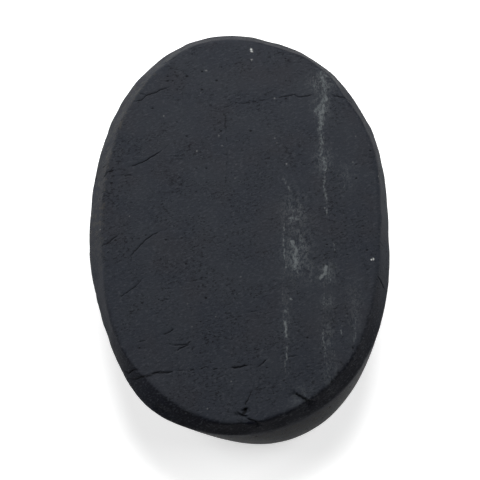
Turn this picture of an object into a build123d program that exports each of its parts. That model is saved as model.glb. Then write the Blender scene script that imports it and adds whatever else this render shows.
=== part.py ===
"""Basalt massage stone: one flat, rounded oblong of hand-worked stone.

The stone is a single solid, so there is one part and nothing moves.  It has a
flat face to rest on, side walls that lean out to a ridge, a bevelled shoulder
above the ridge, and a slightly crowned working face.

Frame, in millimetres: +Z up, +Y along the stone's length, +X across it.  The
origin is in the middle of the resting face.
"""

import math
import os

from build123d import *

# Driving dimensions ---------------------------------------------------------

THICKNESS = 18.5        # resting face to the top of the crown
RIDGE_HEIGHT = 14.2     # the ridge between the wall and the shoulder
WALL_HEIGHT = 6.0       # where the wall is straight, above its rounded foot
SHOULDER_RISE = 3.0     # height over which a station's bevel width is given
FOOT_LEAN = 1.6         # how much further in the wall is at the resting face
CROWN_RADIUS = 500.0    # the working face is almost flat

FOOT_ROUND = 5.0        # rounding between the wall and the resting face
SHOULDER_ROUND = 0.8    # worn edge between the shoulder and the working face
RIDGE_ROUND = 0.6       # worn edge of the ridge

# The ridge seen from above, anticlockwise from the +X side.  Each station has
#   x, y    its place on the ridge,
#   bevel   how far in the shoulder goes over SHOULDER_RISE,
#   tuck    how far in the wall is at WALL_HEIGHT (below zero, it stands out).
STATIONS = [
    (28.7, -4.0, 1.8, 1.2),
    (28.1, 8.8, 1.3, 1.4),
    (25.6, 20.4, 1.6, 1.5),
    (22.6, 25.9, 1.8, 1.5),
    (18.5, 31.5, 1.7, 1.6),
    (7.1, 38.2, 2.1, 1.8),
    (-6.7, 39.1, 2.2, 1.8),
    (-18.3, 31.9, 2.4, 1.7),
    (-25.1, 20.5, 2.2, 1.6),
    (-28.1, 6.5, 2.1, 1.6),
    (-28.1, -8.0, 2.2, 1.7),
    (-24.0, -23.0, 1.4, 2.0),
    (-17.7, -34.1, 3.2, 2.3),
    (-6.4, -39.6, 2.1, 1.5),
    (5.5, -39.2, 1.6, -0.7),
    (15.1, -34.9, 1.9, -1.3),
    (23.0, -26.9, 2.1, -0.1),
    (27.6, -15.5, 2.3, 1.0),
]


def outline(inset_at):
    """Points of the ridge, each moved straight in by inset_at(bevel, tuck)."""
    points = []
    for index, (x, y, bevel, tuck) in enumerate(STATIONS):
        before = STATIONS[index - 1]
        after = STATIONS[(index + 1) % len(STATIONS)]
        along_x = after[0] - before[0]
        along_y = after[1] - before[1]
        scale = inset_at(bevel, tuck) / math.hypot(along_x, along_y)
        points.append((x - along_y * scale, y + along_x * scale))
    return points


# The shoulder is a straight slope.  It is drawn past the top, and the crown cuts it off.
OVER_TOP = THICKNESS + 1.0
OVER_TOP_SHARE = (OVER_TOP - RIDGE_HEIGHT) / SHOULDER_RISE

foot = outline(lambda bevel, tuck: tuck + FOOT_LEAN)
wall = outline(lambda bevel, tuck: tuck)
ridge = outline(lambda bevel, tuck: 0.0)
over_top = outline(lambda bevel, tuck: bevel * OVER_TOP_SHARE)

wall_sections = [(0.0, foot), (WALL_HEIGHT, wall), (RIDGE_HEIGHT, ridge)]
shoulder_sections = [(RIDGE_HEIGHT, ridge), (OVER_TOP, over_top)]

RIDGE_BAND = (RIDGE_HEIGHT - 0.01, RIDGE_HEIGHT + 0.01)   # finds the ridge's edge by its height

# The stone ------------------------------------------------------------------

with BuildPart() as stone:
    # side walls, from the resting face out to the ridge
    for height, points in wall_sections:
        with BuildSketch(Plane.XY.offset(height)):
            with BuildLine():
                Spline(*points, periodic=True)
            make_face()
    loft()

    # bevelled shoulder, from the ridge in to the working face
    for height, points in shoulder_sections:
        with BuildSketch(Plane.XY.offset(height)):
            with BuildLine():
                Spline(*points, periodic=True)
            make_face()
    loft(ruled=True)

    # crowned working face
    with Locations((0, 0, THICKNESS - CROWN_RADIUS)):
        Sphere(CROWN_RADIUS, rotation=(90, 0, 0), mode=Mode.INTERSECT)

    # worn edges, from the top down
    fillet(stone.faces().sort_by(Axis.Z)[-1].edges(), SHOULDER_ROUND)
    fillet(stone.edges().filter_by_position(Axis.Z, *RIDGE_BAND), RIDGE_ROUND)
    fillet(stone.faces().sort_by(Axis.Z)[0].edges(), FOOT_ROUND)

stone.part.label = "stone"

# Written part ---------------------------------------------------------------

os.makedirs("parts", exist_ok=True)
export_step(stone.part, "parts/stone.step")
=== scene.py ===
"""The look of the basalt massage stone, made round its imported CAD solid.

The stone is one piece.  Its visible surface is a fine mesh wrapped onto the CAD
solid and then worked the way the rock is: slightly uneven, with hairline cracks,
small ragged pits, and thin flakes gone from the near edge.  The tables below are
in millimetres in the CAD model's own frame, and Blender's units are metres.
"""

import math

import bmesh
import bpy
import numpy as np
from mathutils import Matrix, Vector, kdtree, noise
from mathutils.bvhtree import BVHTree


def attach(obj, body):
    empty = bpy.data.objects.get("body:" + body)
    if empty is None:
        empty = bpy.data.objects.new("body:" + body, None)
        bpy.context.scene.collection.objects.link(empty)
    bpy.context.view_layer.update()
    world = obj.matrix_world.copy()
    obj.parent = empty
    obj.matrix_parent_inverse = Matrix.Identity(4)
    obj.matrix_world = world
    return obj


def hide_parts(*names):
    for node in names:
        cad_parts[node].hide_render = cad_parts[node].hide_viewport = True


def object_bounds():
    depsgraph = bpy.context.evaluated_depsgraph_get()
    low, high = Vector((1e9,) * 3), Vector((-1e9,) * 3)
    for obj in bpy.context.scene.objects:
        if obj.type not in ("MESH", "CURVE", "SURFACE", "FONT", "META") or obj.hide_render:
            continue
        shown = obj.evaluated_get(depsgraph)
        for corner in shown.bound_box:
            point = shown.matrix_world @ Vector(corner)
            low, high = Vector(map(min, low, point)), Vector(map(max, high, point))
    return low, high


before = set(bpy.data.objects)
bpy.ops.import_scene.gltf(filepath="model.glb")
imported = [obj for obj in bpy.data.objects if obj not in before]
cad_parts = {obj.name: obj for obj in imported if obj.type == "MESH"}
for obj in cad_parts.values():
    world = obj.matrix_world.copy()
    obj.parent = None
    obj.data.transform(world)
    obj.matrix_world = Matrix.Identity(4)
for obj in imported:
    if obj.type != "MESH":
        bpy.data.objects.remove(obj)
cad_low, cad_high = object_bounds()

MM = 0.001
RANDOM_SEED = 7

# Mesh ------------------------------------------------------------------------

COARSE = 0.95           # edge length of the even mesh before any refining
TOP_ABOVE = 12.5        # the working face and shoulder, which are refined all over
REFINE_REACH = (1.3, 0.5, 0.22)     # faces this near a detail are halved once, twice, three times

# Unevenness left by hand grinding: (size across, height) of each layer of bumps
UNEVEN = [(26.0, 0.14), (9.0, 0.06), (3.5, 0.025), (1.3, 0.010)]
EDGE_WAVER = (3.2, 0.16)    # size across and height of the shoulder's own unevenness

# Hairline cracks on the working face: (depth, half width, points along it)
CRACKS = [
    (0.26, 0.14, [(-20.4, 24.6), (-18.8, 25.0), (-17.8, 26.0), (-16.2, 26.5), (-14.8, 27.2), (-12.7, 27.9)]),
    (0.20, 0.13, [(-19.3, 26.5), (-17.8, 26.0)]),
    (0.20, 0.13, [(-14.8, 32.8), (-13.6, 33.2), (-12.0, 34.1)]),
    (0.17, 0.13, [(-3.8, 23.0), (-2.1, 23.5), (-1.0, 24.3), (0.8, 24.2), (2.9, 24.5), (6.8, 25.3)]),
    (0.24, 0.14, [(6.8, 25.3), (9.1, 25.7), (10.6, 26.1), (11.6, 25.6), (13.3, 25.8), (15.0, 26.3)]),
    (0.28, 0.14, [(17.7, 26.3), (18.5, 25.9), (20.0, 25.7), (21.9, 24.8)]),
    (0.26, 0.14, [(-21.3, 11.2), (-19.5, 11.8), (-17.5, 12.7), (-15.9, 13.8), (-14.5, 14.8)]),
    (0.10, 0.12, [(-14.5, 14.8), (-12.6, 16.5)]),
    (0.10, 0.12, [(-10.1, 15.4), (-8.0, 16.5), (-5.6, 17.1)]),
    (0.12, 0.12, [(-13.2, 13.4), (-11.3, 13.4)]),
    (0.18, 0.13, [(-26.1, 11.8), (-24.7, 12.0)]),
    (0.24, 0.15, [(-25.9, 9.4), (-25.0, 10.3), (-23.5, 10.7)]),
    (0.15, 0.13, [(-25.0, 9.4), (-22.3, 9.7), (-19.6, 9.5)]),
    (0.18, 0.13, [(-26.3, 6.2), (-25.5, 6.4), (-24.5, 5.9), (-23.4, 5.7)]),
    (0.24, 0.14, [(-25.9, -4.5), (-24.2, -3.5), (-22.7, -2.1)]),
    (0.22, 0.14, [(-20.9, -7.0), (-19.2, -5.1), (-17.8, -3.5), (-16.1, -2.2), (-14.2, -1.4)]),
    (0.18, 0.13, [(-22.7, -14.6), (-21.0, -13.6), (-19.0, -12.0), (-17.7, -10.6)]),
    (0.10, 0.12, [(-22.1, -18.1), (-20.8, -17.5)]),
    (0.22, 0.14, [(-14.2, -21.8), (-13.1, -21.3), (-12.0, -20.7)]),
    (0.24, 0.15, [(-12.5, -23.8), (-11.4, -23.7), (-9.9, -23.6), (-8.6, -22.8)]),
    (0.26, 0.14, [(-11.6, -24.8), (-10.4, -24.1), (-9.1, -23.6)]),
    (0.30, 0.18, [(-21.4, -27.9), (-20.5, -28.6), (-19.6, -28.2), (-18.6, -28.3)]),
    (0.22, 0.15, [(-20.6, -29.4), (-19.2, -29.9), (-18.0, -29.6), (-16.9, -29.3)]),
    (0.20, 0.14, [(-16.9, -29.3), (-15.6, -28.9), (-14.6, -28.6), (-13.4, -29.0), (-11.7, -28.5)]),
    (0.16, 0.13, [(-11.7, -28.5), (-9.6, -28.6), (-7.9, -28.4)]),
    (0.13, 0.12, [(-2.4, 24.0), (-2.6, 19.6), (-2.2, 15.0), (-2.5, 9.0), (-2.3, 4.0)]),
    (0.18, 0.14, [(-7.2, -28.4), (-6.1, -27.8), (-5.4, -28.2)]),
    (0.24, 0.16, [(-4.8, -28.4), (-3.9, -28.1)]),
    (0.42, 0.20, [(-1.5, -28.1), (0.2, -27.9), (1.1, -27.6), (1.9, -27.6)]),
    (0.12, 0.13, [(-1.9, -26.9), (0.2, -26.7), (1.5, -26.0)]),
    (0.22, 0.14, [(3.5, -27.9), (4.5, -27.2), (5.2, -26.4)]),
    (0.10, 0.12, [(2.6, -24.7), (3.4, -23.6), (4.1, -22.6)]),
    (0.30, 0.15, [(25.8, -10.0), (26.7, -10.9), (27.5, -12.2)]),
    (0.16, 0.13, [(26.0, -4.1), (26.7, -3.6), (27.6, -4.2)]),
    (0.20, 0.14, [(1.5, -35.6), (1.3, -34.7), (2.0, -33.4), (2.6, -31.9)]),
    (0.12, 0.12, [(2.6, -31.9), (4.3, -31.4)]),
    (0.32, 0.50, [(0.2, -37.4), (0.8, -36.8), (1.2, -36.2), (1.5, -35.5)]),
    (0.16, 0.13, [(11.2, -25.8), (9.7, -25.8), (8.6, -26.4)]),
]

# Scarps, where a thin flake has left: (drop, how far it takes to rise again, points)
SCARPS = [
    (
        0.16,
        1.6,
        [(-20.1, -29.3), (-18.2, -29.6), (-17.3, -29.5), (-15.6, -28.9), (-13.8, -28.7), (-11.7, -28.5)],
    ),
    (0.30, 1.0, [(0.2, -36.3), (1.0, -35.7), (1.7, -35.6), (2.1, -36.6)]),
    (0.45, 0.9, [(1.5, -36.9), (1.9, -37.5), (3.2, -38.0), (4.6, -38.4)]),
    (0.50, 2.2, [(10.0, -31.8), (10.6, -32.7), (11.6, -33.3), (12.6, -33.8), (14.6, -33.9)]),
]

# Facets broken off the near edge: (place on the edge, way out of the stone, reach, depth)
FACETS = [
    ((-18.9, -31.2, 17.0), (-0.62, -0.62, 0.48), 3.4, 0.42),
    ((-14.2, -34.6, 17.0), (-0.42, -0.80, 0.43), 3.0, 0.30),
    ((0.6, -36.9, 17.9), (-0.30, -0.86, 0.42), 1.5, 0.55),
    ((12.2, -35.0, 17.3), (0.35, -0.40, 0.84), 2.6, 0.25),
]

# Pale mineral veins: (half width, strength, points along it)
VEINS = [
    (0.25, 0.55, [(14.4, 30.0), (14.2, 29.0), (14.8, 27.1)]),
    (1.00, 0.62, [(16.1, 30.5), (16.5, 28.6), (16.4, 25.6)]),
    (0.60, 0.75, [(17.0, 25.4), (16.0, 24.4), (14.8, 22.7)]),
    (0.55, 0.75, [(16.4, 25.2), (16.1, 23.7), (16.3, 22.3)]),
    (0.75, 0.75, [(15.5, 23.5), (15.8, 21.7), (15.7, 20.2)]),
    (0.55, 0.68, [(15.7, 20.2), (15.5, 18.8)]),
    (0.75, 0.62, [(15.5, 18.8), (15.9, 16.9), (15.8, 15.1)]),
    (0.70, 0.60, [(15.8, 15.1), (15.6, 13.6), (16.3, 12.6)]),
    (0.60, 0.75, [(16.3, 12.6), (16.6, 11.4), (16.3, 10.8)]),
    (0.40, 0.52, [(16.3, 10.8), (16.3, 9.4)]),
    (0.40, 0.56, [(16.3, 9.4), (16.2, 7.6), (16.5, 5.4), (16.8, 3.2), (16.7, 1.2)]),
    (0.40, 0.55, [(16.7, 2.4), (16.9, 1.2)]),
    (0.45, 0.55, [(8.4, 9.0), (9.2, 7.4), (9.9, 6.2)]),
    (0.45, 0.66, [(9.6, 0.9), (10.4, 1.1), (11.2, 0.7)]),
    (0.18, 0.45, [(8.3, 3.5), (8.3, 1.1), (8.6, -0.3)]),
    (0.22, 0.65, [(8.6, -0.3), (8.4, -2.9), (8.6, -6.4), (8.9, -8.7)]),
    (0.60, 0.85, [(10.0, -3.8), (10.7, -5.0), (10.8, -6.2)]),
    (0.65, 0.80, [(10.3, -6.2), (10.9, -7.6), (10.6, -8.7)]),
    (0.45, 0.50, [(10.3, -8.7), (11.5, -10.1)]),
    (0.16, 0.42, [(16.7, 1.2), (17.0, -1.6), (17.9, -4.0)]),
    (0.18, 0.55, [(17.9, -4.0), (18.1, -5.3)]),
    (0.45, 1.00, [(16.4, -8.6), (16.3, -9.9), (15.3, -10.7)]),
    (0.40, 0.50, [(16.9, -9.1), (17.4, -11.4)]),
    (0.16, 0.42, [(16.1, -11.5), (16.0, -14.5), (15.9, -18.2)]),
    (0.14, 0.42, [(8.7, -8.7), (8.3, -11.0), (8.3, -13.0)]),
    (0.20, 0.50, [(8.3, -13.0), (8.2, -15.3)]),
    (0.25, 0.80, [(9.6, -14.8), (9.8, -15.0)]),
    (0.40, 0.70, [(8.7, -17.1), (8.9, -17.5)]),
    (0.28, 1.00, [(8.6, -19.2), (8.8, -20.7), (8.8, -22.2)]),
    (0.22, 0.70, [(9.0, -23.9), (8.9, -26.6)]),
    (0.30, 0.40, [(8.6, -26.6), (8.7, -30.4)]),
    (0.18, 0.35, [(9.3, -28.7), (9.8, -31.7), (10.0, -34.7)]),
    (0.20, 0.50, [(15.9, -18.2), (15.9, -19.3)]),
    (0.30, 0.60, [(15.8, -20.7), (15.7, -22.6), (16.1, -24.4)]),
    (0.50, 0.40, [(16.1, -24.4), (16.3, -26.6), (16.7, -29.2)]),
    (0.16, 0.45, [(17.7, -24.1), (17.9, -25.6)]),
    (0.18, 0.60, [(19.3, -19.8), (19.1, -20.8), (19.3, -21.8)]),
    (0.40, 0.50, [(21.8, -18.3), (21.8, -21.0), (21.4, -22.9)]),
    (0.22, 0.40, [(21.8, -11.2), (22.2, -13.3)]),
    (0.18, 0.45, [(20.3, 10.0), (20.0, 7.2)]),
]

# Where the mineral spreads into a faint web: (x, y, half width, half length, strength)
WEBS = [
    (16.4, 28.3, 2.4, 2.6, 1.00),
    (15.9, 23.6, 1.6, 3.0, 1.00),
    (16.1, 12.8, 1.6, 2.6, 0.90),
    (10.6, 1.8, 2.4, 3.8, 0.80),
    (10.9, -5.6, 2.5, 5.0, 1.00),
    (12.4, -9.4, 2.2, 2.4, 0.70),
    (16.6, -9.8, 1.9, 2.2, 0.70),
    (16.6, -15.4, 1.3, 1.6, 0.60),
    (16.6, -22.0, 1.5, 3.4, 0.55),
    (20.6, 9.6, 1.8, 2.6, 0.40),
    (21.6, -16.5, 1.6, 5.5, 0.42),
    (8.9, -17.5, 0.9, 6.0, 0.45),
    (17.0, -29.0, 1.4, 3.0, 0.50),
    (11.6, -33.2, 2.4, 2.0, 0.42),
]

# Bright mineral flecks: (x, y, radius, strength)
FLECKS = [
    (2.4, 35.6, 0.20, 1.0), (2.5, 35.2, 0.18, 0.9), (2.5, 33.4, 0.15, 0.36),
    (25.0, -7.1, 0.15, 1.0), (25.4, -7.0, 0.15, 1.0), (-6.3, 31.1, 0.15, 0.21),
    (-14.4, 21.7, 0.13, 0.18), (-8.0, 14.4, 0.14, 0.24), (-0.7, 8.9, 0.12, 0.12),
    (-3.2, 15.5, 0.13, 0.15), (-3.8, 17.5, 0.14, 0.15), (-20.7, 1.4, 0.12, 0.15),
    (-26.2, -1.0, 0.14, 0.21), (-4.3, -18.3, 0.12, 0.15), (-8.7, -20.2, 0.12, 0.09),
    (-1.4, -30.6, 0.14, 0.14), (-5.8, -35.7, 0.13, 0.18), (6.9, 25.3, 0.14, 0.21),
    (6.9, 17.0, 0.13, 0.15), (9.1, 11.8, 0.15, 0.21), (-0.5, 11.7, 0.12, 0.09),
    (7.3, 16.1, 0.12, 0.09), (-7.3, 26.4, 0.12, 0.09), (21.8, 12.3, 0.13, 0.15),
    (26.6, 9.6, 0.14, 0.18), (0.4, -10.6, 0.12, 0.12), (-9.6, -15.8, 0.12, 0.09),
    (16.3, 3.0, 0.14, 0.18), (22.4, 17.6, 0.12, 0.12),
]

# Short faint cracks, most of them along one direction of the rock
NICK_COUNT = 140
NICK_HEADING = (24.0, 14.0)     # mean direction and its spread, degrees from +X
NICK_LENGTH = (0.5, 2.6)
NICK_DEPTH = (0.05, 0.13)
NICK_HALF_WIDTH = 0.12

# Small pits
PIT_COUNT = 480
PIT_CROWD = 13.0                # size across of the parts of the rock with more pits
PIT_RADIUS = 0.09               # the smallest
PIT_RADIUS_RANGE = 0.17         # the largest is this much more
PIT_STEEPNESS = (0.35, 0.7)     # depth as a share of the radius
PIT_STRETCH = (0.75, 1.3, 1.0)  # above 1, narrower that way

LINE_STEP = 0.35        # cracks and veins are drawn in steps of about this length
LINE_JITTER = 0.08      # how far each step wanders to the side
RAGGED = 0.38           # size across of the raggedness of every edge
PATCH = 1.0             # size across of the gaps that break a crack up
SHALLOW_TO_DEEP = (0.06, 0.20)  # crack depths over which it becomes unbroken

SHOULDER_TILT = (-0.93, -0.80)      # minus the normal's height, from the face to the shoulder
SHOULDER_HEIGHTS = (13.0, 14.5)     # where the shoulder and the working face begin
SMOOTH_PASSES = 3


def wave(points, size, seed):
    """Smooth noise from -1 to 1, with bumps about size mm across."""
    offset = Vector((17.3, 5.1, 9.7)) * seed
    return np.array([noise.noise(Vector(point / size) + offset) for point in points])


def step(values, low, high):
    """0 up to low, 1 from high, and smooth between."""
    share = np.clip((values - low) / (high - low), 0.0, 1.0)
    return share * share * (3.0 - 2.0 * share)


# The CAD surface ----------------------------------------------------------------

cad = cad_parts["stone"]


def solid_tree():
    """The CAD solid's surface in millimetres, for finding its nearest point."""
    flat = np.zeros(len(cad.data.vertices) * 3)
    cad.data.vertices.foreach_get("co", flat)
    corners = [Vector(point) for point in flat.reshape(-1, 3) / MM]
    return BVHTree.FromPolygons(corners, [tuple(face.vertices) for face in cad.data.polygons])


tree = solid_tree()


def on_surface(point):
    """The nearest point of the CAD surface."""
    return tree.find_nearest(Vector(point))[0]


def drop(x, y):
    """The point of the CAD surface straight below (x, y)."""
    high = cad_high.z / MM + 1.0
    hit = tree.ray_cast(Vector((x, y, high)), Vector((0.0, 0.0, -1.0)))[0]
    return hit if hit is not None else on_surface((x, y, high))


def roughened(line):
    """A line in short steps that wander a little to each side, as a crack in grain does."""
    rough = [line[0]]
    for start, end in zip(line, line[1:]):
        count = max(1, round((end - start).length / LINE_STEP))
        for index in range(1, count + 1):
            point = start.lerp(end, index / count)
            if index < count:
                aside = rng.uniform(-LINE_JITTER, LINE_JITTER)
                along = rng.uniform(-LINE_JITTER, LINE_JITTER)
                point = point + Vector((aside, along, 0.0))
            rough.append(on_surface(point))
    return np.array(rough)


def laid(table):
    """A table's rows with each row's points laid on the working face."""
    return [(first, second, roughened([drop(x, y) for x, y in points])) for first, second, points in table]


# The mesh -----------------------------------------------------------------------


def even_mesh():
    """An even mesh of small quads that lies on the CAD surface, as a bmesh in mm."""
    source = bpy.data.objects.new("stone_source", cad.data.copy())
    bpy.context.scene.collection.objects.link(source)
    welded = bmesh.new()
    welded.from_mesh(source.data)
    bmesh.ops.remove_doubles(welded, verts=welded.verts, dist=0.002 * MM)
    welded.to_mesh(source.data)
    welded.free()
    remesh = source.modifiers.new("even", "REMESH")
    remesh.mode = "VOXEL"
    remesh.voxel_size = COARSE * MM
    graph = bpy.context.evaluated_depsgraph_get()
    mesh = bpy.data.meshes.new_from_object(source.evaluated_get(graph))
    bpy.data.objects.remove(source)

    surface = bmesh.new()
    surface.from_mesh(mesh)
    bpy.data.meshes.remove(mesh)
    for vertex in surface.verts:
        vertex.co = on_surface(vertex.co / MM)
    for _ in range(SMOOTH_PASSES):
        bmesh.ops.smooth_vert(
            surface, verts=surface.verts, factor=0.5, use_axis_x=True, use_axis_y=True, use_axis_z=True
        )
        for vertex in surface.verts:
            vertex.co = on_surface(vertex.co)
    return surface


def places_and_normals(surface):
    """Every vertex's place and normal, as arrays."""
    surface.normal_update()
    places = np.array([vertex.co for vertex in surface.verts])
    return places, np.array([vertex.normal for vertex in surface.verts])


def detail_tree(lines, spots):
    """Every line's points and every spot, for finding the detail nearest to a face."""
    marks = [point for line in lines for point in line] + list(spots)
    found = kdtree.KDTree(len(marks))
    for index, point in enumerate(marks):
        found.insert(Vector(point), index)
    found.balance()
    return found


def refine(surface, details):
    """Halves the top's faces, and again those near the fine details."""
    for level, reach in enumerate(REFINE_REACH):
        edges = set()
        for face in surface.faces:
            centre = face.calc_center_median()
            whole_top = level == 0 and centre.z > TOP_ABOVE
            if whole_top or details.find(centre)[2] < reach:
                edges.update(face.edges)
        ordered = sorted(edges, key=lambda edge: edge.index)
        bmesh.ops.subdivide_edges(surface, edges=ordered, cuts=1, use_grid_fill=True)
        surface.edges.index_update()
    for vertex in surface.verts:
        vertex.co = on_surface(vertex.co)


# Fine details ----------------------------------------------------------------------


def nicks(places, normals):
    """Short faint cracks all over the stone."""
    made = []
    for _ in range(NICK_COUNT):
        start = int(rng.integers(len(places)))
        heading = math.radians(rng.normal(*NICK_HEADING))
        way = Vector((math.cos(heading), math.sin(heading), 0.0))
        normal = Vector(normals[start])
        way = (way - normal * way.dot(normal)).normalized()
        length = rng.uniform(*NICK_LENGTH)
        line = [on_surface(Vector(places[start]) + way * (length * share)) for share in (0.0, 0.5, 1.0)]
        made.append((rng.uniform(*NICK_DEPTH), NICK_HALF_WIDTH, roughened(line)))
    return made


def pits(places):
    """Small pits, (place, radius, depth), crowded together in some parts of the rock."""
    crowding = wave(places, PIT_CROWD, 21)
    chance = 0.15 + step(crowding, -0.25, 0.35)
    chosen = rng.choice(len(places), size=PIT_COUNT, p=chance / chance.sum())
    radii = PIT_RADIUS + PIT_RADIUS_RANGE * rng.random(PIT_COUNT) ** 2
    depths = radii * rng.uniform(*PIT_STEEPNESS, PIT_COUNT)
    return list(zip(places[chosen], radii, depths))


def distance_to(points, line):
    """Distance to a line, how far along it that is from 0 to 1, and the nearest point."""
    best = np.full(len(points), np.inf)
    along = np.zeros(len(points))
    foot = np.zeros_like(points)
    lengths = np.linalg.norm(np.diff(line, axis=0), axis=1)
    walked = 0.0
    for start, end, length in zip(line, line[1:], lengths):
        way = end - start
        share = np.clip((points - start) @ way / max(length**2, 1e-9), 0.0, 1.0)
        nearest = start + share[:, None] * way
        distance = np.linalg.norm(points - nearest, axis=1)
        closer = distance < best
        best[closer] = distance[closer]
        along[closer] = (walked + share[closer] * length) / lengths.sum()
        foot[closer] = nearest[closer]
        walked += length
    return best, along, foot


def near(points, line, reach):
    """Which points are in the line's own box, grown by reach."""
    low = line.min(0) - reach
    high = line.max(0) + reach
    return np.flatnonzero(((points > low) & (points < high)).all(1))


rng = np.random.default_rng(RANDOM_SEED)
surface = even_mesh()
start_places, start_normals = places_and_normals(surface)
cracks = laid(CRACKS) + nicks(start_places, start_normals)
scarps = laid(SCARPS)
veins = laid(VEINS)
pit_list = pits(start_places)
fleck_list = [(np.array(drop(x, y)), radius, strength) for x, y, radius, strength in FLECKS]

all_lines = [line for _, _, line in cracks + scarps + veins]
all_spots = [place for place, _, _ in pit_list + fleck_list]
refine(surface, detail_tree(all_lines, all_spots))
points, normals = places_and_normals(surface)

# Shaping ------------------------------------------------------------------------------

tilt = normals[:, 2]
on_shoulder = step(-tilt, -0.97, -0.80) * step(points[:, 2], *SHOULDER_HEIGHTS)
ragged = wave(points, RAGGED, 11)
patchy = np.clip(0.62 + 1.3 * wave(points, PATCH, 12), 0.08, 1.0)

height = np.zeros(len(points))
# painted shade in the cracks, scarps and pits, kept for the material
hollow_shade = np.zeros(len(points))
for layer, (size, amount) in enumerate(UNEVEN):
    height += amount * wave(points, size, layer + 1)
height += EDGE_WAVER[1] * on_shoulder * wave(points, EDGE_WAVER[0], 9)

# cracks: sharp grooves that taper at their ends and fade in places, with painted shade in them
for depth, half_width, line in cracks:
    chosen = near(points, line, 4 * half_width)
    distance, along, _ = distance_to(points[chosen], line)
    broken_up = np.maximum(patchy[chosen], 0.75 * step(depth, *SHALLOW_TO_DEEP))
    taper = np.clip(np.minimum(along, 1 - along) * 6, 0.3, 1.0) * broken_up
    wide = half_width * (0.65 + 0.35 * taper) * (1 + 0.35 * ragged[chosen])
    inside = np.clip(1 - distance / wide, 0.0, 1.0)
    height[chosen] -= depth * taper * inside
    hollow_shade[chosen] = np.maximum(hollow_shade[chosen], np.clip(depth / 0.24, 0, 1) * taper * inside)

# scarps: the face drops along the line on its near side, and rises again further on, with painted shade on
# the scar
for drop_by, fade, line in scarps:
    chosen = near(points, line, 2 * fade)
    distance, along, foot = distance_to(points[chosen], line)
    below = np.clip((foot[:, 1] - points[chosen, 1] + 0.12 * ragged[chosen]) / 0.22 + 0.4, 0.0, 1.0)
    taper = np.clip(np.minimum(along, 1 - along) * 4, 0.0, 1.0)
    height[chosen] -= drop_by * below * taper * np.exp(-((distance / fade) ** 2) * 2)
    scar_shade = below * taper * np.clip(1 - distance / 0.45, 0.0, 1.0)
    hollow_shade[chosen] = np.maximum(hollow_shade[chosen], 0.60 * scar_shade)

# pits: small rounded dents, with painted shade in them
for place, radius, depth in pit_list:
    chosen = near(points, place[None, :], 3 * radius)
    away = (points[chosen] - place) * np.array(PIT_STRETCH)
    distance = np.linalg.norm(away, axis=1) / radius * (1 + 0.6 * ragged[chosen])
    dent = np.exp(-(distance**2) * 1.6)
    height[chosen] -= depth * dent
    hollow_shade[chosen] = np.maximum(hollow_shade[chosen], dent * np.clip(depth / 0.12, 0, 0.7))

moved = points + normals * height[:, None]

# facets: whatever stands proud of a slanted plane is pushed back to it
for place, way, reach, depth in FACETS:
    out = np.array(way) / np.linalg.norm(way)
    from_place = moved - np.array(place)
    proud = from_place @ out + depth + 0.16 * wave(moved, 1.6, 15) + 0.05 * ragged
    local = step(-np.linalg.norm(from_place, axis=1), -reach, -0.8 * reach)
    moved -= out * (np.clip(proud, 0.0, None) * local)[:, None]

moved[:, 2] = np.maximum(moved[:, 2], 0.0)
for vertex, point in zip(surface.verts, moved):
    vertex.co = point * MM

mesh = bpy.data.meshes.new("stone_surface")
surface.to_mesh(mesh)
surface.free()
mesh.shade_smooth()
stone = bpy.data.objects.new("stone_surface", mesh)
bpy.context.scene.collection.objects.link(stone)

# What the material reads at each vertex ---------------------------------------------


def store(name, values):
    """Keeps one number from 0 to 1 for each vertex."""
    layer = mesh.attributes.new(name, "FLOAT", "POINT")
    layer.data.foreach_set("value", np.clip(values, 0.0, 1.0).astype(np.float32))


def vein_amount():
    amount = np.zeros(len(points))
    for half_width, strength, line in veins:
        chosen = near(points, line, 3 * half_width)
        distance, _, _ = distance_to(points[chosen], line)
        wide = half_width * (1 + 0.45 * ragged[chosen])
        amount[chosen] = np.maximum(amount[chosen], strength * np.exp(-((distance / wide) ** 2)))
    return amount


def web_amount():
    amount = np.zeros(len(points))
    on_top = step(points[:, 2], *SHOULDER_HEIGHTS)
    for x, y, half_width, half_length, strength in WEBS:
        away = ((points[:, 0] - x) / half_width) ** 2 + ((points[:, 1] - y) / half_length) ** 2
        amount = np.maximum(amount, strength * np.exp(-away) * on_top)
    return amount


def fleck_amount():
    amount = np.zeros(len(points))
    for place, radius, strength in fleck_list:
        chosen = near(points, place[None, :], 3 * radius)
        distance = np.linalg.norm(points[chosen] - place, axis=1) / radius
        amount[chosen] = np.maximum(amount[chosen], strength * step(-distance, -1.4, -0.4))
    return amount


# painted shade in the cracks, scarps and pits
store("hollow_shade", hollow_shade)
store("vein", vein_amount())
store("web", web_amount())
store("fleck", fleck_amount())

# the left shoulder, paler: partly dust and wear where it has been handled, partly a painted highlight along
# its edge
handled_and_lit = 0.82 * step(-points[:, 0], 6.0, 18.0)
edge_and_shoulder = step(-tilt, -0.985, -0.93) * step(points[:, 2], 13.8, 14.8)
store("wear_and_highlight", edge_and_shoulder * handled_and_lit * step(points[:, 1], -18.0, 6.0))

# the near and far shoulder, darker in colour: painted shade
broken_edge = 0.07 * ragged + 0.10 * wave(points, 1.5, 16)
near_shade_strength = 0.68 + 0.32 * step(points[:, 0], -20.0, -2.0)
near_side_shade = near_shade_strength * step(-points[:, 1], 4.0, 28.0)
far_side_shade = 0.55 * step(points[:, 1], 8.0, 24.0) * step(points[:, 0], -16.0, 8.0)
painted_shoulder_shade = np.maximum(near_side_shade, far_side_shade)
shoulder = step(broken_edge - tilt, *SHOULDER_TILT) * step(points[:, 2], 13.4, 14.2)
store("painted_shoulder_shade", painted_shoulder_shade * shoulder)

# the side wall, rougher and greyer: its own rougher rock, with a painted warm tint for light bounced up from
# the floor
store("raw_and_bounce", step(3.0 * broken_edge - points[:, 2], -13.7, -12.9))

# The rock's material ------------------------------------------------------------------

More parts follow.
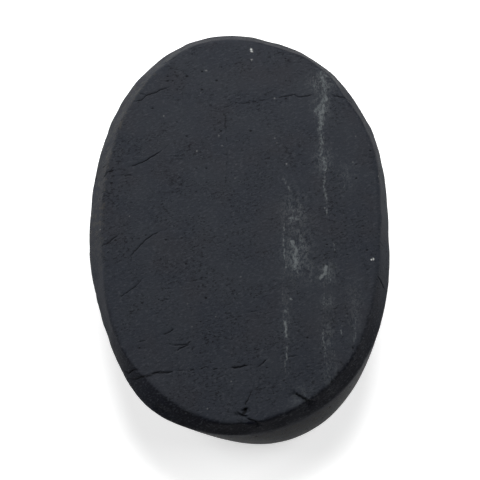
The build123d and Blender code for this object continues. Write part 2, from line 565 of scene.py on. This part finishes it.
DARK_ROCK = (0.0188, 0.0216, 0.0282)
LESS_DARK_ROCK = (0.0218, 0.0246, 0.0306)
REDDISH_ROCK = (0.0214, 0.0225, 0.0276)
# painted shade of the near and far shoulder
PAINTED_SHADE_ROCK = (0.0036, 0.0042, 0.0078)
GRAIN = (0.040, 0.044, 0.051)
SPECK = (0.0045, 0.0050, 0.0065)
# painted shade in the cracks, scarps and pits
CRACK_SHADE = (0.0035, 0.0038, 0.0048)
# dust and wear with a painted highlight, on the left shoulder's edge
WORN_AND_LIT_ROCK = (0.045, 0.0440, 0.0390)
# the side wall's rock, with a painted warm tint of floor bounce
RAW_AND_BOUNCE_ROCK = (0.0245, 0.0228, 0.0198)
MINERAL = (0.105, 0.116, 0.120)
FLECK = (0.50, 0.51, 0.50)


class Nodes:
    """Short names for making shader nodes and joining them."""

    def __init__(self, material):
        material.use_nodes = True
        self.tree = material.node_tree
        self.tree.nodes.clear()

    def new(self, kind, **settings):
        node = self.tree.nodes.new(kind)
        for name, value in settings.items():
            setattr(node, name, value)
        return node

    def join(self, source, target):
        self.tree.links.new(source, target)

    def attribute(self, name):
        return self.new("ShaderNodeAttribute", attribute_name=name).outputs["Fac"]

    def noise(self, coordinates, size, detail=2.0, roughness=0.5, stretch=(1, 1, 1), turn=0.0):
        """Noise with bumps about size mm across, stretched along its own axes."""
        placed = self.new("ShaderNodeMapping", vector_type="TEXTURE")
        placed.inputs["Rotation"].default_value = (0, 0, math.radians(turn))
        placed.inputs["Scale"].default_value = [size * MM * s for s in stretch]
        self.join(coordinates, placed.inputs["Vector"])
        texture = self.new("ShaderNodeTexNoise")
        texture.inputs["Scale"].default_value = 1.0
        texture.inputs["Detail"].default_value = detail
        texture.inputs["Roughness"].default_value = roughness
        self.join(placed.outputs[0], texture.inputs["Vector"])
        return texture.outputs["Fac"]

    def ramp(self, value, low, high, to_low=0.0, to_high=1.0):
        """value from low..high turned smoothly into to_low..to_high, and held outside it."""
        node = self.new("ShaderNodeMapRange", interpolation_type="SMOOTHSTEP")
        node.inputs["From Min"].default_value = low
        node.inputs["From Max"].default_value = high
        node.inputs["To Min"].default_value = to_low
        node.inputs["To Max"].default_value = to_high
        self.join(value, node.inputs["Value"])
        return node.outputs["Result"]

    def math(self, operation, first, second=0.0):
        node = self.new("ShaderNodeMath", operation=operation)
        for socket, value in zip(node.inputs, (first, second)):
            if isinstance(value, (int, float)):
                socket.default_value = value
            else:
                self.join(value, socket)
        return node.outputs[0]

    def mix(self, share, first, second):
        node = self.new("ShaderNodeMix", data_type="RGBA")
        self.join(share, node.inputs["Factor"])
        for name, value in (("A", first), ("B", second)):
            socket = [s for s in node.inputs if s.name == name and s.type == "RGBA"][0]
            if isinstance(value, tuple):
                socket.default_value = (*value, 1.0)
            else:
                self.join(value, socket)
        return [s for s in node.outputs if s.type == "RGBA"][0]


def mineral_share(nodes, place):
    """How much of the pale mineral shows: veins and webs, both broken up by the grain."""
    grain = nodes.noise(place, 0.50, detail=5.0, roughness=0.75, stretch=(0.85, 1.5, 1.0))
    spread = nodes.math("MULTIPLY", nodes.math("SUBTRACT", grain, 0.5), 2.6)
    vein = nodes.ramp(nodes.math("ADD", nodes.attribute("vein"), spread), 0.30, 1.05)
    vein = nodes.math("MULTIPLY", vein, nodes.ramp(nodes.attribute("vein"), 0.05, 0.45))

    curls = nodes.noise(place, 1.5, detail=4.0, roughness=0.7, stretch=(0.7, 1.5, 1.0))
    from_middle = nodes.math("ABSOLUTE", nodes.math("SUBTRACT", curls, 0.5))
    thin_lines = nodes.ramp(from_middle, 0.0, 0.045, 1.0, 0.0)
    haze = nodes.ramp(grain, 0.47, 0.60)
    broken = nodes.ramp(nodes.noise(place, 1.0, detail=4.0), 0.32, 0.56)
    soft_haze = nodes.math("MULTIPLY", haze, 0.75)
    lines_or_haze = nodes.math("MAXIMUM", thin_lines, soft_haze)
    lines_and_haze = nodes.math("MULTIPLY", lines_or_haze, broken)
    web = nodes.math("MULTIPLY", nodes.attribute("web"), lines_and_haze)
    return nodes.math("MAXIMUM", nodes.math("MULTIPLY", vein, 0.92), nodes.math("MULTIPLY", web, 0.74))


# Size across of each layer of the rock's colour, and how the grain lies
CLOUD = 9.0
TINGE = 7.0
SPECK_CROWD = 5.0
GRAIN_SIZE = 0.42
SPECK_SIZE = 0.40
RAW_AND_BOUNCE_SIZE = 0.7
WEAR_AND_HIGHLIGHT_SIZE = 0.9
GRAIN_STRETCH = (1.7, 0.8, 1.0)
GRAIN_TURN = 22.0
SPECK_STRETCH = (1.6, 0.9, 1.0)
SPECK_TURN = 18.0

SPECULAR = 0.05
ROUGHNESS = (0.50, 0.66)
BUMP_STRENGTH = 0.6
BUMP_HEIGHT = 0.10


def rock():
    """Matt, blue-black, fine-grained rock with the stored details laid over it."""
    material = bpy.data.materials.new("rock")
    nodes = Nodes(material)
    place = nodes.new("ShaderNodeTexCoord").outputs["Object"]

    cloud = nodes.noise(place, CLOUD, detail=5.0, roughness=0.6)
    colour = nodes.mix(nodes.ramp(cloud, 0.35, 0.65), DARK_ROCK, LESS_DARK_ROCK)
    tinge = nodes.noise(place, TINGE, detail=2.0)
    colour = nodes.mix(nodes.ramp(tinge, 0.45, 0.70, 0.0, 0.7), colour, REDDISH_ROCK)
    raw_and_bounce_grain = nodes.ramp(nodes.noise(place, RAW_AND_BOUNCE_SIZE, detail=5.0, roughness=0.8), 0.40, 0.62, 0.1, 1.0)
    # painted shade on the near and far shoulder
    colour = nodes.mix(nodes.attribute("painted_shoulder_shade"), colour, PAINTED_SHADE_ROCK)
    # the side wall: its rock with a painted warm tint of floor bounce
    raw_and_bounce = nodes.math("MULTIPLY", nodes.attribute("raw_and_bounce"), raw_and_bounce_grain)
    colour = nodes.mix(raw_and_bounce, colour, RAW_AND_BOUNCE_ROCK)

    grain = nodes.noise(place, GRAIN_SIZE, 3.0, 0.7, GRAIN_STRETCH, GRAIN_TURN)
    colour = nodes.mix(nodes.ramp(grain, 0.48, 0.74, 0.0, 0.80), colour, GRAIN)
    specks = nodes.noise(place, SPECK_SIZE, 4.0, 0.7, SPECK_STRETCH, SPECK_TURN)
    crowded = nodes.ramp(nodes.noise(place, SPECK_CROWD, detail=3.0), 0.40, 0.62, 0.20, 0.85)
    dark = nodes.math("MULTIPLY", nodes.ramp(specks, 0.49, 0.68), crowded)
    colour = nodes.mix(dark, colour, SPECK)
    # the left shoulder's edge: dust and wear with a painted highlight
    wear_and_highlight_grain = nodes.ramp(nodes.noise(place, WEAR_AND_HIGHLIGHT_SIZE, detail=4.0, roughness=0.75), 0.49, 0.62, 0.0, 0.9)
    colour = nodes.mix(nodes.math("MULTIPLY", nodes.attribute("wear_and_highlight"), wear_and_highlight_grain), colour, WORN_AND_LIT_ROCK)

    colour = nodes.mix(mineral_share(nodes, place), colour, MINERAL)
    # painted shade in the cracks, scarps and pits
    colour = nodes.mix(nodes.ramp(nodes.attribute("hollow_shade"), 0.08, 0.55, 0.0, 0.90), colour, CRACK_SHADE)
    colour = nodes.mix(nodes.attribute("fleck"), colour, FLECK)

    shader = nodes.new("ShaderNodeBsdfPrincipled")
    shader.inputs["Specular IOR Level"].default_value = SPECULAR
    nodes.join(colour, shader.inputs["Base Color"])
    nodes.join(nodes.ramp(grain, 0.3, 0.7, *ROUGHNESS), shader.inputs["Roughness"])

    relief = nodes.math("SUBTRACT", grain, nodes.math("MULTIPLY", dark, 0.45))
    bump = nodes.new("ShaderNodeBump")
    bump.inputs["Strength"].default_value = BUMP_STRENGTH
    bump.inputs["Distance"].default_value = BUMP_HEIGHT * MM
    nodes.join(relief, bump.inputs["Height"])
    nodes.join(bump.outputs["Normal"], shader.inputs["Normal"])

    output = nodes.new("ShaderNodeOutputMaterial")
    nodes.join(shader.outputs[0], output.inputs["Surface"])
    return material


stone.data.materials.append(rock())
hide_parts("stone")
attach(stone, "root")

# Floor, light and camera ---------------------------------------------------------------

FLOOR_HALF = 1.5
FLOOR_HEIGHT = -0.03 * MM   # just clear of the resting face
FLOOR_CORNERS = [(-1, -1), (1, -1), (1, 1), (-1, 1)]
FLOOR_COLOUR = (0.86, 0.86, 0.86, 1.0)
FLOOR_GLOW = 0.585      # keeps the paper near white in a dim room

CAMERA_ELEVATION = 73.0
CAMERA_DISTANCE = 0.456
CAMERA_AIM = (0.24, -0.56, 9.12)
CAMERA_LENS = 177.4
CAMERA_SENSOR = 36.0


def pale_floor():
    """A plain sheet of pale paper under the stone."""
    mesh = bpy.data.meshes.new("floor")
    corners = [(x * FLOOR_HALF, y * FLOOR_HALF, FLOOR_HEIGHT) for x, y in FLOOR_CORNERS]
    mesh.from_pydata(corners, [], [(0, 1, 2, 3)])
    floor = bpy.data.objects.new("floor", mesh)
    bpy.context.scene.collection.objects.link(floor)
    material = bpy.data.materials.new("paper")
    material.use_nodes = True
    paper = material.node_tree.nodes["Principled BSDF"]
    paper.inputs["Base Color"].default_value = FLOOR_COLOUR
    paper.inputs["Roughness"].default_value = 0.9
    paper.inputs["Specular IOR Level"].default_value = 0.1
    paper.inputs["Emission Color"].default_value = (1.0, 1.0, 1.0, 1.0)
    paper.inputs["Emission Strength"].default_value = FLOOR_GLOW
    floor.data.materials.append(material)


def softbox(name, way, power, distance=0.70, size=0.40):
    """A square area light that looks at the stone from the direction way."""
    lamp = bpy.data.lights.new(name, "AREA")
    lamp.shape = "SQUARE"
    lamp.size = size
    lamp.energy = power
    light = bpy.data.objects.new(name, lamp)
    away = Vector(way).normalized()
    light.location = away * distance
    light.rotation_mode = "QUATERNION"
    light.rotation_quaternion = away.to_track_quat("Z", "Y")
    bpy.context.scene.collection.objects.link(light)


def room_light(strength):
    """A faint even light from all round."""
    world = bpy.data.worlds.new("room")
    world.use_nodes = True
    background = world.node_tree.nodes["Background"]
    background.inputs["Color"].default_value = (0.95, 0.97, 1.0, 1.0)
    background.inputs["Strength"].default_value = strength
    bpy.context.scene.world = world


def camera():
    """The camera stands on the near side and looks steeply down at the stone."""
    elevation = math.radians(CAMERA_ELEVATION)
    aim = Vector(CAMERA_AIM) * MM
    back = Vector((0.0, -math.cos(elevation), math.sin(elevation)))
    data = bpy.data.cameras.new("camera")
    data.sensor_width = CAMERA_SENSOR
    data.lens = CAMERA_LENS
    eye = bpy.data.objects.new("camera", data)
    eye.location = aim + back * CAMERA_DISTANCE
    eye.rotation_mode = "QUATERNION"
    eye.rotation_quaternion = back.to_track_quat("Z", "Y")
    bpy.context.scene.collection.objects.link(eye)
    bpy.context.scene.camera = eye


pale_floor()
softbox("far_box", (0.0, 0.62, 0.78), 5.2, size=0.34)
softbox("left_box", (-0.86, 0.22, 0.42), 2.6)
softbox("right_box", (0.70, 0.10, 0.72), 1.5)
room_light(0.02)
camera()
bpy.context.scene.view_settings.view_transform = "Standard"
